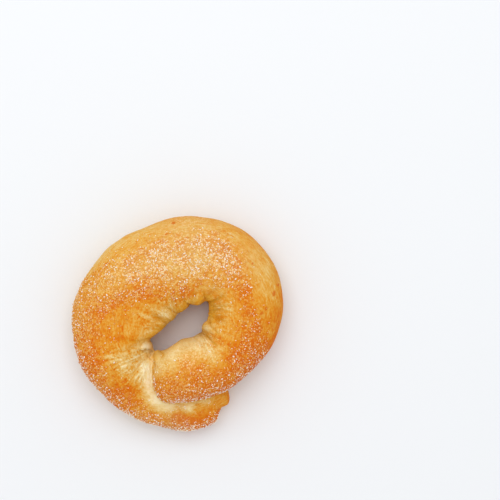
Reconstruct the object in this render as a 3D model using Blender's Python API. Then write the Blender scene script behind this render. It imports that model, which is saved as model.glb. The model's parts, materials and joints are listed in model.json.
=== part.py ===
"""A kalach: a rope of sweet yeast dough laid into a ring, its ends lapped, dredged with coarse sugar and baked.

Metres, +Z up. Seen from above, +X is to the right and +Y away. A bearing is measured anticlockwise from +X round
the centre of the hole. The rope starts at the tail, low on the right, runs clockwise once round the hole, and
ends as the blunt end that laps over the tail, so its bearing falls from TAIL_BEARING to LAP_BEARING.
"""

import math
import random

import bmesh
import bpy
from mathutils import Euler, Matrix, Vector, noise
from mathutils.bvhtree import BVHTree

MM = 0.001

# The ring, seen from above. The hole's sides: bearing of each, distance from the centre
RING_RADIUS = 53.3 * MM
RING_SHIFT = 3.2 * MM
RING_SHIFT_BEARING = 50.0
HOLE_SIDES = (
    (-2.0, 14.0 * MM),
    (108.0, 8.5 * MM),
    (132.0, 5.2 * MM),
    (188.0, 16.0 * MM),
    (296.0, 7.5 * MM),
)
HOLE_SHARPNESS = 14

# The ring, seen from the side
RING_HEIGHT = 33.5 * MM
BELLY = 0.42
BASE_FLAT = 0.80
BASE_EDGE = 1.6 * MM
CROWN_ROUNDNESS = 2.15
FLANK_ROUNDNESS = 2.5
HAIR = 0.001 * MM

# The rope's two ends. Pairs are the bearings between which a change begins and is complete.
TAIL_BEARING = 307.5
TAIL_HEIGHT = 21.0 * MM
TAIL_RISES = (270, 198)
TAIL_TUCK = 5.0 * MM
TAIL_TUCKS = (236, 300)
TAIL_ROUNDING = 19.0
TAIL_TIP = 0.45
LAP_BEARING = -131.5
LAP_ROUNDING = 34.0
LAP_INSET = 12.0 * MM
LAP_NARROWS = (40, -50)
LAP_LIFT = 8.0 * MM
LAP_LIFTS = (-15, -60)
LAP_RISE = 3.5 * MM
LAP_RISES = (0, -60)
LAP_MEETING = 0.4
LAP_BLUNTNESS = 0.6

# Where hands and oven left the edges uneven: bearing, spread in degrees, outward amount
OUTER_SWELLS = (
    (178, 30, 2.2 * MM),
    (108, 22, -2.2 * MM),
    (56, 16, 1.4 * MM),
    (200, 16, 1.8 * MM),
    (240, 28, 1.5 * MM),
)
HOLE_SWELLS = (
    (280, 24, -1.0 * MM),
    (-4, 9, -2.2 * MM),
    (204, 7, 1.2 * MM),
    (229, 5, -1.4 * MM),
    (242, 8, 1.0 * MM),
)
TAIL_SWELLS = (
    (275, 12, 1.9 * MM),
    (296.5, 4, -4.2 * MM),
)
LAP_SWELLS = ((-74, 34, -1.7 * MM),)

# Pleats where the dough is gathered into the hole: bearing, depth, width. They are shallower at the very lip.
PLEATS = (
    (-34, 0.8 * MM, 1.5 * MM),
    (-15, 1.6 * MM, 1.5 * MM),
    (12, 1.1 * MM, 1.3 * MM),
    (23, 1.0 * MM, 1.2 * MM),
    (35, 1.1 * MM, 1.3 * MM),
    (46, 0.7 * MM, 1.5 * MM),
    (62, 1.5 * MM, 1.5 * MM),
    (101, 1.0 * MM, 1.6 * MM),
    (158, 1.1 * MM, 1.7 * MM),
    (204, 0.8 * MM, 1.5 * MM),
    (226, 1.1 * MM, 1.5 * MM),
)
PLEAT_LENGTH = 16.0 * MM
PLEAT_FADES = (1.0, 0.2)
PLEAT_FULLNESS = 0.5 * MM
PLEAT_AT_LIP = 0.45
LIP = (0.0, 0.15)
FACES_HOLE = (0.0, 0.8)

# Knobs and dents: x, y from the hole's centre, radius, height
KNOBS = (
    (8.4 * MM, 14.0 * MM, 3.8 * MM, 2.2 * MM),
    (14.4 * MM, -0.4 * MM, 2.9 * MM, 1.5 * MM),
    (2.2 * MM, 9.8 * MM, 3.2 * MM, 0.6 * MM),
    (-5.2 * MM, 5.0 * MM, 3.2 * MM, 0.8 * MM),
    (-17.0 * MM, -9.4 * MM, 2.6 * MM, 1.4 * MM),
    (-11.0 * MM, -14.0 * MM, 2.4 * MM, 0.8 * MM),
    (-21.0 * MM, 27.0 * MM, 6.5 * MM, -0.8 * MM),
    (30.0 * MM, -13.0 * MM, 7.0 * MM, -0.9 * MM),
)
FACES_UP = (-0.5, 0.3)
LUMP_SIZE = 21.0 * MM
LUMP_HEIGHT = 0.9 * MM
RIPPLE_SIZE = 8.0 * MM
RIPPLE_HEIGHT = 0.3 * MM
RELIEF_FADES = (7.0 * MM, 0.5 * MM)

# How finely the rope is divided
RINGS = 122
SIDES = 34
END_CROWDING = 0.25
WELD = 0.002 * MM

# The coarsest sugar, the only grains large enough to be solids. The bare flank has bearings and a width.
GRAIN_COUNT = 130
GRAIN_SIZE = (0.9 * MM, 1.4 * MM)
GRAIN_SPACING = 4.4 * MM
GRAIN_LOWEST = 6.0 * MM
GRAIN_RAISED = 0.2
GRAIN_THINNEST = 0.75
GRAIN_HEADROOM = 1.5 * MM
TRIES_PER_GRAIN = 40
LEAST_SHARE = 0.01
BARE_FLANK = (-50, 165, 15.0 * MM)
BARE_FLANK_STARTS = 60
BARE_FLANK_ENDS = 30
BARE_RIM = 9.0 * MM
SEED = 7

CRUST_COLOUR = (0.72, 0.36, 0.09, 1)
CRUST_ROUGHNESS = 0.5


def share_of(value, low, high):
    """How far value has come from low to high, between 0 and 1. High may be below low."""
    return min(1.0, max(0.0, (value - low) / (high - low)))


def smoothstep(value, low, high):
    """The same share, with level ends."""
    share = share_of(value, low, high)
    return share * share * (3 - 2 * share)


def smooth_max(a, b, blend):
    """The larger of a and b, with the corner between them rounded over blend."""
    overlap = max(blend - abs(a - b), 0.0) / blend
    return max(a, b) + overlap * overlap * blend / 4


def bell(distance):
    """1 at distance 0 and nearly 0 at 2."""
    return math.exp(-(distance**2))


def turned(bearing, other):
    """The angle in degrees from other to bearing, between -180 and 180."""
    return (bearing - other + 180) % 360 - 180


def swell(bearing, swells):
    return sum(amount * bell(turned(bearing, at) / spread) for at, spread, amount in swells)


def hole_radius(bearing):
    """The hole is a long five-sided opening with rounded corners."""
    total = 0.0
    for facing, distance in HOLE_SIDES:
        total += max(0.0, math.cos(math.radians(bearing - facing)) / distance) ** HOLE_SHARPNESS
    return total ** (-1 / HOLE_SHARPNESS) + swell(bearing, HOLE_SWELLS)


def ring_radius(bearing):
    """The outer edge is a circle set off towards the upper right, with the swells of a hand-rolled rope."""
    shift = RING_SHIFT * math.cos(math.radians(bearing - RING_SHIFT_BEARING))
    return RING_RADIUS + shift + swell(bearing, OUTER_SWELLS)


def tail_section(bearing):
    """Inner and outer radius, underside and crown of the half that starts with the tail."""
    inner = hole_radius(bearing) + TAIL_TUCK * smoothstep(bearing, *TAIL_TUCKS)
    outer = ring_radius(bearing) + swell(bearing, TAIL_SWELLS)
    crown = TAIL_HEIGHT + (RING_HEIGHT - TAIL_HEIGHT) * smoothstep(bearing, *TAIL_RISES)
    fullness = math.sqrt(1 - (1 - share_of(bearing, TAIL_BEARING, TAIL_BEARING - TAIL_ROUNDING)) ** 2)
    middle, half = (inner + outer) / 2, (outer - inner) / 2 * fullness
    return middle - half, middle + half, 0.0, crown * (TAIL_TIP + (1 - TAIL_TIP) * fullness)


def lap_section(bearing):
    """The same for the half that ends on top of the tail."""
    inner = hole_radius(bearing)
    outer = ring_radius(bearing) + swell(bearing, LAP_SWELLS) - LAP_INSET * smoothstep(bearing, *LAP_NARROWS)
    underside = LAP_LIFT * smoothstep(bearing, *LAP_LIFTS)
    crown = RING_HEIGHT + LAP_RISE * smoothstep(bearing, *LAP_RISES)
    fullness = math.sin(math.pi / 2 * share_of(bearing, LAP_BEARING, LAP_BEARING + LAP_ROUNDING))
    meeting = underside + LAP_MEETING * (crown - underside)
    return (
        inner,
        inner + (outer - inner) * fullness,
        meeting + (underside - meeting) * fullness,
        meeting + (crown - meeting) * fullness**LAP_BLUNTNESS,
    )


def rope_section(bearing):
    """Inner radius, outer radius, underside and crown of the rope at a bearing, rounded off at both of its ends."""
    return tail_section(bearing) if bearing > 90 else lap_section(bearing)


def superellipse(value, roundness):
    return math.copysign(abs(value) ** (2 / roundness), value)


def rope_point(bearing, around):
    """A point of the rope's skin: around is 0 at the outer edge, a quarter turn at the crown, half at the hole."""
    inner, outer, underside, crown = rope_section(bearing)
    belly = underside + BELLY * (crown - underside)
    up = math.sin(around)
    if up >= 0:
        across = superellipse(math.cos(around), CROWN_ROUNDNESS)
        height = belly + (crown - belly) * superellipse(up, CROWN_ROUNDNESS)
    else:
        across = superellipse(math.cos(around), FLANK_ROUNDNESS)
        height = belly + (belly - underside) / BASE_FLAT * superellipse(up, FLANK_ROUNDNESS)
        height = smooth_max(height, underside, min(BASE_EDGE, belly - underside + HAIR))
    radius = (inner + outer) / 2 + (outer - inner) / 2 * across
    angle = math.radians(bearing)
    return Vector((radius * math.cos(angle), radius * math.sin(angle), height))


def relief(point, bearing, around):
    """How far the skin stands out from the plain rope at a point: pleats round the hole, knobs, lumps and ripples."""
    facing_hole = smoothstep(-math.cos(around), *FACES_HOLE)
    facing_up = smoothstep(math.sin(around), *FACES_UP)
    radius = math.hypot(point.x, point.y)
    along = (radius - hole_radius(bearing)) / PLEAT_LENGTH
    reach = smoothstep(along, *PLEAT_FADES) * (PLEAT_AT_LIP + (1 - PLEAT_AT_LIP) * smoothstep(along, *LIP))
    height = PLEAT_FULLNESS * facing_hole
    for at, depth, width in PLEATS:
        height -= depth * facing_hole * reach * bell(math.radians(bearing - at) * radius / width)
    for x, y, size, rise in KNOBS:
        height += rise * facing_up * bell(math.hypot(point.x - x, point.y - y) / size)
    height += LUMP_HEIGHT * noise.noise(point / LUMP_SIZE) + RIPPLE_HEIGHT * noise.noise(point / RIPPLE_SIZE)
    return height * (1 - smoothstep(point.z, *RELIEF_FADES))


def dough_rope():
    """A sphere with many rings, drawn out into the rope: its poles become the rope's two ends."""
    mesh = bmesh.new()
    bmesh.ops.create_uvsphere(mesh, u_segments=SIDES, v_segments=RINGS, radius=1)
    places = []
    for vert in mesh.verts:
        along = math.acos(max(-1.0, min(1.0, vert.co.z))) / math.pi
        along -= END_CROWDING * math.sin(2 * math.pi * along) / (2 * math.pi)
        bearing = TAIL_BEARING + (LAP_BEARING - TAIL_BEARING) * along
        around = -math.atan2(vert.co.y, vert.co.x)
        places.append((bearing, around))
        vert.co = rope_point(bearing, around)
    bmesh.ops.recalc_face_normals(mesh, faces=mesh.faces)
    mesh.normal_update()
    for vert, (bearing, around) in zip(mesh.verts, places):
        vert.co += vert.normal * relief(vert.co, bearing, around)
        vert.co.z = max(vert.co.z, 0.0)
    put_in_order(mesh)
    return mesh


def put_in_order(mesh):
    """Numbers corners and triangles by their place, as a sphere's own numbering varies from run to run."""
    bmesh.ops.triangulate(mesh, faces=mesh.faces)
    for number, vert in enumerate(sorted(mesh.verts, key=lambda vert: tuple(vert.co))):
        vert.index = number
    mesh.verts.sort()
    for number, face in enumerate(sorted(mesh.faces, key=lambda face: sorted(vert.index for vert in face.verts))):
        face.index = number
    mesh.faces.sort()
    mesh.normal_update()


def takes_sugar(point):
    """The dredged side faces up, except for the smooth flank on the right and far side and the rim of the hole."""
    bearing = math.degrees(math.atan2(point.y, point.x))
    radius = math.hypot(point.x, point.y)
    first, last, width = BARE_FLANK
    width *= smoothstep(bearing, first, first + BARE_FLANK_STARTS)
    width *= smoothstep(bearing, last, last - BARE_FLANK_ENDS)
    return hole_radius(bearing) + BARE_RIM < radius < ring_radius(bearing) - width and point.z > GRAIN_LOWEST


def grain_places(mesh, chance):
    """Where the grains sit: spread by area over the sugared skin that nothing lies on, no two close together."""
    tree = BVHTree.FromBMesh(mesh)
    faces = [face for face in mesh.faces if face.normal.z > 0.0]
    areas = [face.calc_area() for face in faces]
    places = []
    for face in chance.choices(faces, areas, k=GRAIN_COUNT * TRIES_PER_GRAIN):
        corners = [vert.co for vert in sorted(face.verts, key=lambda vert: vert.index)]
        shares = [chance.random() + LEAST_SHARE for corner in corners]
        point = sum((corner * share for corner, share in zip(corners, shares)), Vector()) / sum(shares)
        covered = tree.ray_cast(point + face.normal * GRAIN_HEADROOM, Vector((0, 0, 1)))[0] is not None
        near = any((point - other).length < GRAIN_SPACING for other, normal in places)
        if takes_sugar(point) and not covered and not near:
            places.append((point, face.normal.copy()))
        if len(places) == GRAIN_COUNT:
            break
    return places


def sugar_grains(mesh, chance):
    """Rough cubes, each turned its own way and sunk into the skin."""
    grains = bmesh.new()
    for number, (point, normal) in enumerate(grain_places(mesh, chance)):
        size = GRAIN_SIZE[1] + (GRAIN_SIZE[0] - GRAIN_SIZE[1]) * number / GRAIN_COUNT
        scale = Matrix.Diagonal([size * chance.uniform(GRAIN_THINNEST, 1.0) for axis in range(3)]).to_4x4()
        turn = Euler([chance.uniform(0, math.tau) for axis in range(3)]).to_matrix().to_4x4()
        place = Matrix.Translation(point + normal * size * GRAIN_RAISED)
        bmesh.ops.create_cube(grains, size=1, matrix=place @ turn @ scale)
    return grains


def crust_material():
    material = bpy.data.materials.new("baked_crust")
    material.use_nodes = True
    shader = material.node_tree.nodes["Principled BSDF"]
    shader.inputs["Base Color"].default_value = CRUST_COLOUR
    shader.inputs["Roughness"].default_value = CRUST_ROUGHNESS
    shader.inputs["Metallic"].default_value = 0.0
    return material


def new_object(name, mesh, collection, material):
    data = bpy.data.meshes.new(name)
    mesh.to_mesh(data)
    mesh.free()
    data.materials.append(material)
    obj = bpy.data.objects.new(name, data)
    collection.objects.link(obj)
    return obj


def fuse(body, toppings):
    """Joins the toppings to the body, and the lapped end to the tail under it, as one skin."""
    union = body.modifiers.new("fuse", "BOOLEAN")
    union.operation = "UNION"
    union.operand_type = "COLLECTION"
    union.collection = toppings
    union.solver = "EXACT"
    union.use_self = True
    fused = bpy.data.meshes.new_from_object(body.evaluated_get(bpy.context.evaluated_depsgraph_get()))
    body.modifiers.remove(union)
    for obj in list(toppings.objects):
        bpy.data.objects.remove(obj)
    bpy.data.collections.remove(toppings)
    return fused


def shell_from(start):
    """All points that can be reached from one by going along edges."""
    shell, waiting = {start}, [start]
    while waiting:
        for edge in waiting.pop().link_edges:
            for vert in edge.verts:
                if vert not in shell:
                    shell.add(vert)
                    waiting.append(vert)
    return shell


def outer_shell(data):
    """The largest joined-up piece of the fused skin, without any sealed hollow or loose scrap."""
    mesh = bmesh.new()
    mesh.from_mesh(data)
    bmesh.ops.remove_doubles(mesh, verts=mesh.verts, dist=WELD)
    bmesh.ops.dissolve_degenerate(mesh, edges=mesh.edges, dist=WELD)
    bmesh.ops.triangulate(mesh, faces=mesh.faces)
    left = set(mesh.verts)
    shells = []
    while left:
        shells.append(shell_from(next(iter(left))))
        left -= shells[-1]
    shells.sort(key=len)
    for shell in shells[:-1]:
        bmesh.ops.delete(mesh, geom=list(shell), context="VERTS")
    return mesh


def centred(mesh):
    """The same mesh with the middle of its box over the origin and its base at height 0."""
    lows = [min(vert.co[axis] for vert in mesh.verts) for axis in range(3)]
    highs = [max(vert.co[axis] for vert in mesh.verts) for axis in range(3)]
    middle = Vector(((lows[0] + highs[0]) / 2, (lows[1] + highs[1]) / 2, lows[2]))
    bmesh.ops.translate(mesh, verts=mesh.verts, vec=-middle)
    return mesh


def main():
    for obj in list(bpy.data.objects):
        bpy.data.objects.remove(obj)
    collection = bpy.data.collections.new("kalach_parts")
    toppings = bpy.data.collections.new("sugar")
    bpy.context.scene.collection.children.link(collection)
    bpy.context.scene.collection.children.link(toppings)
    crust = crust_material()
    rope = dough_rope()
    new_object("grains", sugar_grains(rope, random.Random(SEED)), toppings, crust)
    body = new_object("kalach", rope, collection, crust)
    fused = fuse(body, toppings)
    skin = centred(outer_shell(fused))
    skin.to_mesh(body.data)
    skin.free()


main()
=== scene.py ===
# %% [markdown]
# # A kalach, sugared and baked
#
# A kalach is a ring of sweet yeast dough. The baker rolls a rope, lays it round into a ring and
# laps one end over the other, dredges the top with coarse sugar and bakes it until the high places
# turn orange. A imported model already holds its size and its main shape. This lesson makes the
# looks: the skin of the dough with its pleats and creases, the colours that the oven gave it, and
# nearly ten thousand crystals of sugar.

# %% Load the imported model
import json
import math
import random
from collections import namedtuple

import bmesh
import bpy
import numpy as np
from mathutils import Matrix, Vector, kdtree, noise

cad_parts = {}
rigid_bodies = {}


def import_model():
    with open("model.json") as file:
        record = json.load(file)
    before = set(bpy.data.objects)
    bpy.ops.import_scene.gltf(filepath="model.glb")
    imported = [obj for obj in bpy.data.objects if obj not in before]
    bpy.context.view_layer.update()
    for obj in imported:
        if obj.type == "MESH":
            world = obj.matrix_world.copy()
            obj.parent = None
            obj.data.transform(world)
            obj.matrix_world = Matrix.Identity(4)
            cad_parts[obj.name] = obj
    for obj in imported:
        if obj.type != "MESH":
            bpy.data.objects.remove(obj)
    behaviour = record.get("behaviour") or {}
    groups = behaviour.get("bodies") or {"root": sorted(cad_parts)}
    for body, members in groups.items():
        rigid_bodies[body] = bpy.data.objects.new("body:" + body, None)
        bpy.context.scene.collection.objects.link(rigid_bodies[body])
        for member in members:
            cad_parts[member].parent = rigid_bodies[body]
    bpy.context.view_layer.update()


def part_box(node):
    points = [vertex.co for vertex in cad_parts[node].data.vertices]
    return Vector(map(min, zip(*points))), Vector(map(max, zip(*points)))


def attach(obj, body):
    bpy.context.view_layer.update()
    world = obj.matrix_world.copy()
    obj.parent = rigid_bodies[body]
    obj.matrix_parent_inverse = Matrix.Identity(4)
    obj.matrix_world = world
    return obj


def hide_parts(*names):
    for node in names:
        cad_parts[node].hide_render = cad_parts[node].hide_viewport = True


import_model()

MM = 0.001


# %% [markdown]
# ## The camera
#
# The photograph looks straight down, 250 mm wide on 500 pixels, so a pixel is half a millimetre.
# The ring lies off to the lower left of the camera's axis. Everything below is measured from the
# centre of the ring's hole, which is easy to find in the photograph and in the model: the right and
# far edges of the crust carry no sugar, so there the plain rope touches the model's box.

# %% Hang the camera
PIXEL = 0.5 * MM
PICTURE_SIDE = 500
HOLE_PIXEL = (179.3, 326.5)
PICTURE_HEIGHT = 20 * MM  # half-way up the ring, where a pixel is exactly half a millimetre
LENS = 135.0
SENSOR = 36.0
CAMERA_DISTANCE = PICTURE_SIDE * PIXEL * LENS / SENSOR
NEAREST_SEEN = 10 * MM


def new_object(name, data):
    obj = bpy.data.objects.new(name, data)
    bpy.context.scene.collection.objects.link(obj)
    return obj


def hang_camera(hole_centre):
    """Looks straight down on the middle of the picture, from where its width fills the view."""
    data = bpy.data.cameras.new("camera")
    data.lens = LENS
    data.sensor_width = SENSOR
    data.clip_start = NEAREST_SEEN
    camera = new_object("camera", data)
    right = (PICTURE_SIDE / 2 - HOLE_PIXEL[0]) * PIXEL
    away = (HOLE_PIXEL[1] - PICTURE_SIDE / 2) * PIXEL
    camera.location = (hole_centre[0] + right, hole_centre[1] + away, PICTURE_HEIGHT + CAMERA_DISTANCE)
    bpy.context.scene.camera = camera


print("the camera hangs", round(CAMERA_DISTANCE / MM), "mm above the dough")

# %% [markdown]
# ## The table and the light
#
# The ring lies on something white under soft light, such as a window and a bright room. A large
# area lamp, high up and a little beyond the ring, gives the gentle shading, and a bright grey world
# fills the shadows. The plain view transform keeps colours as they are mixed, which matters where
# they are set against a photograph.

# %% Lay the floor and light it
FLOOR_SIDE = 3.0
FLOOR_COLOUR = (0.84, 0.86, 0.885)
FLOOR_ROUGHNESS = 0.6
LAMP_SIDE = 1.0
LAMP_PLACE = (-0.08, 0.47, 1.14)
LAMP_POWER = 5.8
ROOM_LIGHT = 0.80


def plain_shader(name, colour, roughness):
    """A material with one Principled shader, and that shader."""
    material = bpy.data.materials.new(name)
    material.use_nodes = True
    shader = next(node for node in material.node_tree.nodes if node.type == "BSDF_PRINCIPLED")
    shader.inputs["Base Color"].default_value = (*colour, 1.0)
    shader.inputs["Roughness"].default_value = roughness
    return material, shader


def lay_floor():
    shape = bmesh.new()
    bmesh.ops.create_grid(shape, x_segments=1, y_segments=1, size=FLOOR_SIDE / 2)
    data = bpy.data.meshes.new("floor")
    shape.to_mesh(data)
    shape.free()
    data.materials.append(plain_shader("white_table", FLOOR_COLOUR, FLOOR_ROUGHNESS)[0])
    return new_object("floor", data)


def light_the_scene():
    world = bpy.data.worlds.new("bright_room")
    world.use_nodes = True
    background = next(node for node in world.node_tree.nodes if node.type == "BACKGROUND")
    background.inputs["Color"].default_value = (1.0, 1.0, 1.0, 1.0)
    background.inputs["Strength"].default_value = ROOM_LIGHT
    bpy.context.scene.world = world
    data = bpy.data.lights.new("window", "AREA")
    data.shape = "SQUARE"
    data.size = LAMP_SIDE
    data.energy = LAMP_POWER
    lamp = new_object("window", data)
    lamp.location = LAMP_PLACE
    lamp.rotation_euler = (-Vector(LAMP_PLACE)).to_track_quat("-Z", "Y").to_euler()
    bpy.context.scene.view_settings.view_transform = "Standard"


lay_floor()
light_the_scene()
print("one lamp of", LAMP_POWER, "W and a room of brightness", ROOM_LIGHT)

# %% [markdown]
# ## The rope's rule
#
# The main piece follows a rule. Go round the hole by a bearing, in degrees anticlockwise from the
# right: the rule gives the rope's inner and outer edge, its underside and its crown. The rope
# starts at its tail, at the lower right, runs clockwise right round and on over its own tail, so
# its bearing falls from 307.5 to -131.5 degrees and passes some places twice. The numbers are those
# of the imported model, so that the new skin keeps its form.

# %% The ring from above
RING_RADIUS = 53.3 * MM
RING_SHIFT = 3.2 * MM
RING_SHIFT_BEARING = 50.0
HOLE_SIDES = (  # bearing of each side, distance from the centre
    (-2.0, 14.0 * MM),
    (108.0, 8.5 * MM),
    (132.0, 5.2 * MM),
    (188.0, 16.0 * MM),
    (296.0, 7.5 * MM),
)
HOLE_SHARPNESS = 14
HOLE_SWELLS = (  # bearing, spread in degrees, outward amount
    (280, 24, -1.0 * MM),
    (-4, 9, -2.2 * MM),
    (204, 7, 1.2 * MM),
    (229, 5, -1.4 * MM),
    (242, 8, 1.0 * MM),
)
OUTER_SWELLS = (  # bearing, spread in degrees, outward amount
    (178, 30, 2.2 * MM),
    (108, 22, -2.2 * MM),
    (56, 16, 1.4 * MM),
    (200, 16, 1.8 * MM),
    (240, 28, 1.5 * MM),
)
TAIL_SWELLS = (
    (275, 12, 1.9 * MM),
    (296.5, 4, -4.2 * MM),
)
LAP_SWELLS = ((-74, 34, -1.7 * MM),)


def smoothstep(value, low, high):
    """0 at low, 1 at high, with level ends. High may be below low."""
    share = np.clip((value - low) / (high - low), 0.0, 1.0)
    return share * share * (3 - 2 * share)


def bump(distance):
    """A bell that is 1 at distance 0 and nearly 0 at 2."""
    return np.exp(-(distance**2))


def turned(bearing, other):
    """The angle in degrees from other to bearing, between -180 and 180."""
    return (bearing - other + 180) % 360 - 180


def swell(bearing, swells):
    return sum(amount * bump(turned(bearing, at) / spread) for at, spread, amount in swells)


def hole_radius(bearing):
    """The hole is a long five-sided opening with rounded corners."""
    total = 0.0
    for facing, distance in HOLE_SIDES:
        towards = np.cos(np.radians(bearing - facing)) / distance
        total = total + np.maximum(0.0, towards) ** HOLE_SHARPNESS
    return total ** (-1 / HOLE_SHARPNESS) + swell(bearing, HOLE_SWELLS)


def ring_radius(bearing):
    """The outer edge: a circle set off to the upper right, with the swells of a hand-rolled rope."""
    shift = RING_SHIFT * np.cos(np.radians(bearing - RING_SHIFT_BEARING))
    return RING_RADIUS + shift + swell(bearing, OUTER_SWELLS)


narrowest = hole_radius(np.arange(0.0, 360.0)).min() * 2
print("the hole is", round(narrowest / MM, 1), "mm across where it is narrowest")

# %% The rope from the side, and its two ends
RING_HEIGHT = 33.5 * MM
BELLY = 0.42
BASE_FLAT = 0.80
BASE_EDGE = 1.6 * MM
CROWN_ROUNDNESS = 2.15
FLANK_ROUNDNESS = 2.5
HAIR = 0.001 * MM
BACK_BEARING = 90.0  # where the two halves of the rope meet
TAIL_BEARING = 307.5
TAIL_HEIGHT = 21.0 * MM
TAIL_RISES = (270, 198)  # each pair: the bearings between which a change begins and is complete
TAIL_TUCK = 5.0 * MM
TAIL_TUCKS = (236, 300)
TAIL_ROUNDING = 19.0
TAIL_TIP = 0.45
LAP_BEARING = -131.5
LAP_ROUNDING = 34.0
LAP_INSET = 12.0 * MM
LAP_NARROWS = (40, -50)
LAP_LIFT = 8.0 * MM
LAP_LIFTS = (-15, -60)
LAP_RISE = 3.5 * MM
LAP_RISES = (0, -60)
LAP_MEETING = 0.4
LAP_BLUNTNESS = 0.6


def tail_section(bearing):
    """Inner and outer radius, underside and crown of the half that starts with the tail."""
    inner = hole_radius(bearing) + TAIL_TUCK * smoothstep(bearing, *TAIL_TUCKS)
    outer = ring_radius(bearing) + swell(bearing, TAIL_SWELLS)
    crown = TAIL_HEIGHT + (RING_HEIGHT - TAIL_HEIGHT) * smoothstep(bearing, *TAIL_RISES)
    left = np.clip((TAIL_BEARING - bearing) / TAIL_ROUNDING, 0.0, 1.0)
    fullness = np.sqrt(1 - (1 - left) ** 2)
    middle, half = (inner + outer) / 2, (outer - inner) / 2 * fullness
    return middle - half, middle + half, 0.0 * bearing, crown * (TAIL_TIP + (1 - TAIL_TIP) * fullness)


def lap_section(bearing):
    """The same for the half that ends on top of the tail."""
    inner = hole_radius(bearing)
    outer = ring_radius(bearing) + swell(bearing, LAP_SWELLS)
    outer = outer - LAP_INSET * smoothstep(bearing, *LAP_NARROWS)
    underside = LAP_LIFT * smoothstep(bearing, *LAP_LIFTS)
    crown = RING_HEIGHT + LAP_RISE * smoothstep(bearing, *LAP_RISES)
    left = np.clip((bearing - LAP_BEARING) / LAP_ROUNDING, 0.0, 1.0)
    fullness = np.sin(np.radians(90) * left)
    meeting = underside + LAP_MEETING * (crown - underside)
    return (
        inner,
        inner + (outer - inner) * fullness,
        meeting + (underside - meeting) * fullness,
        meeting + (crown - meeting) * fullness**LAP_BLUNTNESS,
    )


def rope_section(bearing):
    pairs = zip(tail_section(bearing), lap_section(bearing))
    return [np.where(bearing > BACK_BEARING, tail, lap) for tail, lap in pairs]


def superellipse(value, roundness):
    return np.copysign(np.abs(value) ** (2 / roundness), value)


def smooth_max(a, b, blend):
    """The larger of a and b, with the corner between them rounded over blend."""
    overlap = np.maximum(blend - np.abs(a - b), 0.0) / blend
    return np.maximum(a, b) + overlap * overlap * blend / 4


def rope_points(bearing, around):
    """Points of the skin. Around is 0 at the outer edge and a quarter turn at the crown."""
    inner, outer, underside, crown = rope_section(bearing)
    belly = underside + BELLY * (crown - underside)
    up, out = np.sin(around), np.cos(around)
    upper = belly + (crown - belly) * superellipse(up, CROWN_ROUNDNESS)
    lower = belly + (belly - underside) / BASE_FLAT * superellipse(up, FLANK_ROUNDNESS)
    lower = smooth_max(lower, underside, np.minimum(BASE_EDGE, belly - underside + HAIR))
    roundness = np.where(up >= 0, CROWN_ROUNDNESS, FLANK_ROUNDNESS)
    radius = (inner + outer) / 2 + (outer - inner) / 2 * superellipse(out, roundness)
    height = np.where(up >= 0, upper, lower)
    angle = np.radians(bearing)
    return np.stack([radius * np.cos(angle), radius * np.sin(angle), height], axis=1)


crown_at_back = float(rope_section(np.array([BACK_BEARING]))[3][0])
print("the rope is", round(crown_at_back / MM, 1), "mm high at the back")

# %% [markdown]
# ## Pleats, knobs and lumps
#
# Dough that is bent into a ring has too much skin on the inside of the bend. It gathers into pleats
# round the hole, with a knob where two pleats squeeze the skin between them. The rope itself is
# never quite even. All of this is one height field: how far the skin stands out from the plain rope
# at each point.

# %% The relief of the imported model
PLEATS = (  # bearing, depth, width; they are shallower at the very lip
    (-34, 0.8 * MM, 1.5 * MM),
    (-15, 1.6 * MM, 1.5 * MM),
    (12, 1.1 * MM, 1.3 * MM),
    (23, 1.0 * MM, 1.2 * MM),
    (35, 1.1 * MM, 1.3 * MM),
    (46, 0.7 * MM, 1.5 * MM),
    (62, 1.5 * MM, 1.5 * MM),
    (101, 1.0 * MM, 1.6 * MM),
    (158, 1.1 * MM, 1.7 * MM),
    (204, 0.8 * MM, 1.5 * MM),
    (226, 1.1 * MM, 1.5 * MM),
)
PLEAT_LENGTH = 16.0 * MM
PLEAT_FADES = (1.0, 0.2)  # shares of its length
PLEAT_FULLNESS = 0.5 * MM
PLEAT_AT_LIP = 0.45
LIP_SHARES = (0.0, 0.15)
FACES_HOLE = (0.0, 0.8)
FACES_UP = (-0.5, 0.3)
KNOBS = (  # x, y from the hole's centre, radius, height
    (8.4 * MM, 14.0 * MM, 3.8 * MM, 2.2 * MM),
    (14.4 * MM, -0.4 * MM, 2.9 * MM, 1.5 * MM),
    (2.2 * MM, 9.8 * MM, 3.2 * MM, 0.6 * MM),
    (-5.2 * MM, 5.0 * MM, 3.2 * MM, 0.8 * MM),
    (-17.0 * MM, -9.4 * MM, 2.6 * MM, 1.4 * MM),
    (-11.0 * MM, -14.0 * MM, 2.4 * MM, 0.8 * MM),
    (-21.0 * MM, 27.0 * MM, 6.5 * MM, -0.8 * MM),
    (30.0 * MM, -13.0 * MM, 7.0 * MM, -0.9 * MM),
)
LUMPS = (  # layers of noise: each with its height, the size of its lumps and its shift in the noise
    (0.9 * MM, 21.0 * MM, 0.0),
    (0.3 * MM, 8.0 * MM, 0.0),
)
RELIEF_STARTS = (0.5 * MM, 7 * MM)  # heights above the table


def noise_at(points, size, shift):
    """Smooth noise between about -1 and 1 at each point, with lumps of that size."""
    places = (points / size + shift).tolist()
    return np.array([noise.noise(place) for place in places])


def layered_noise(points, layers, start=0.0):
    """Several noises added to a start, each with its height, size and shift."""
    return sum((height * noise_at(points, size, shift) for height, size, shift in layers), start)


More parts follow.
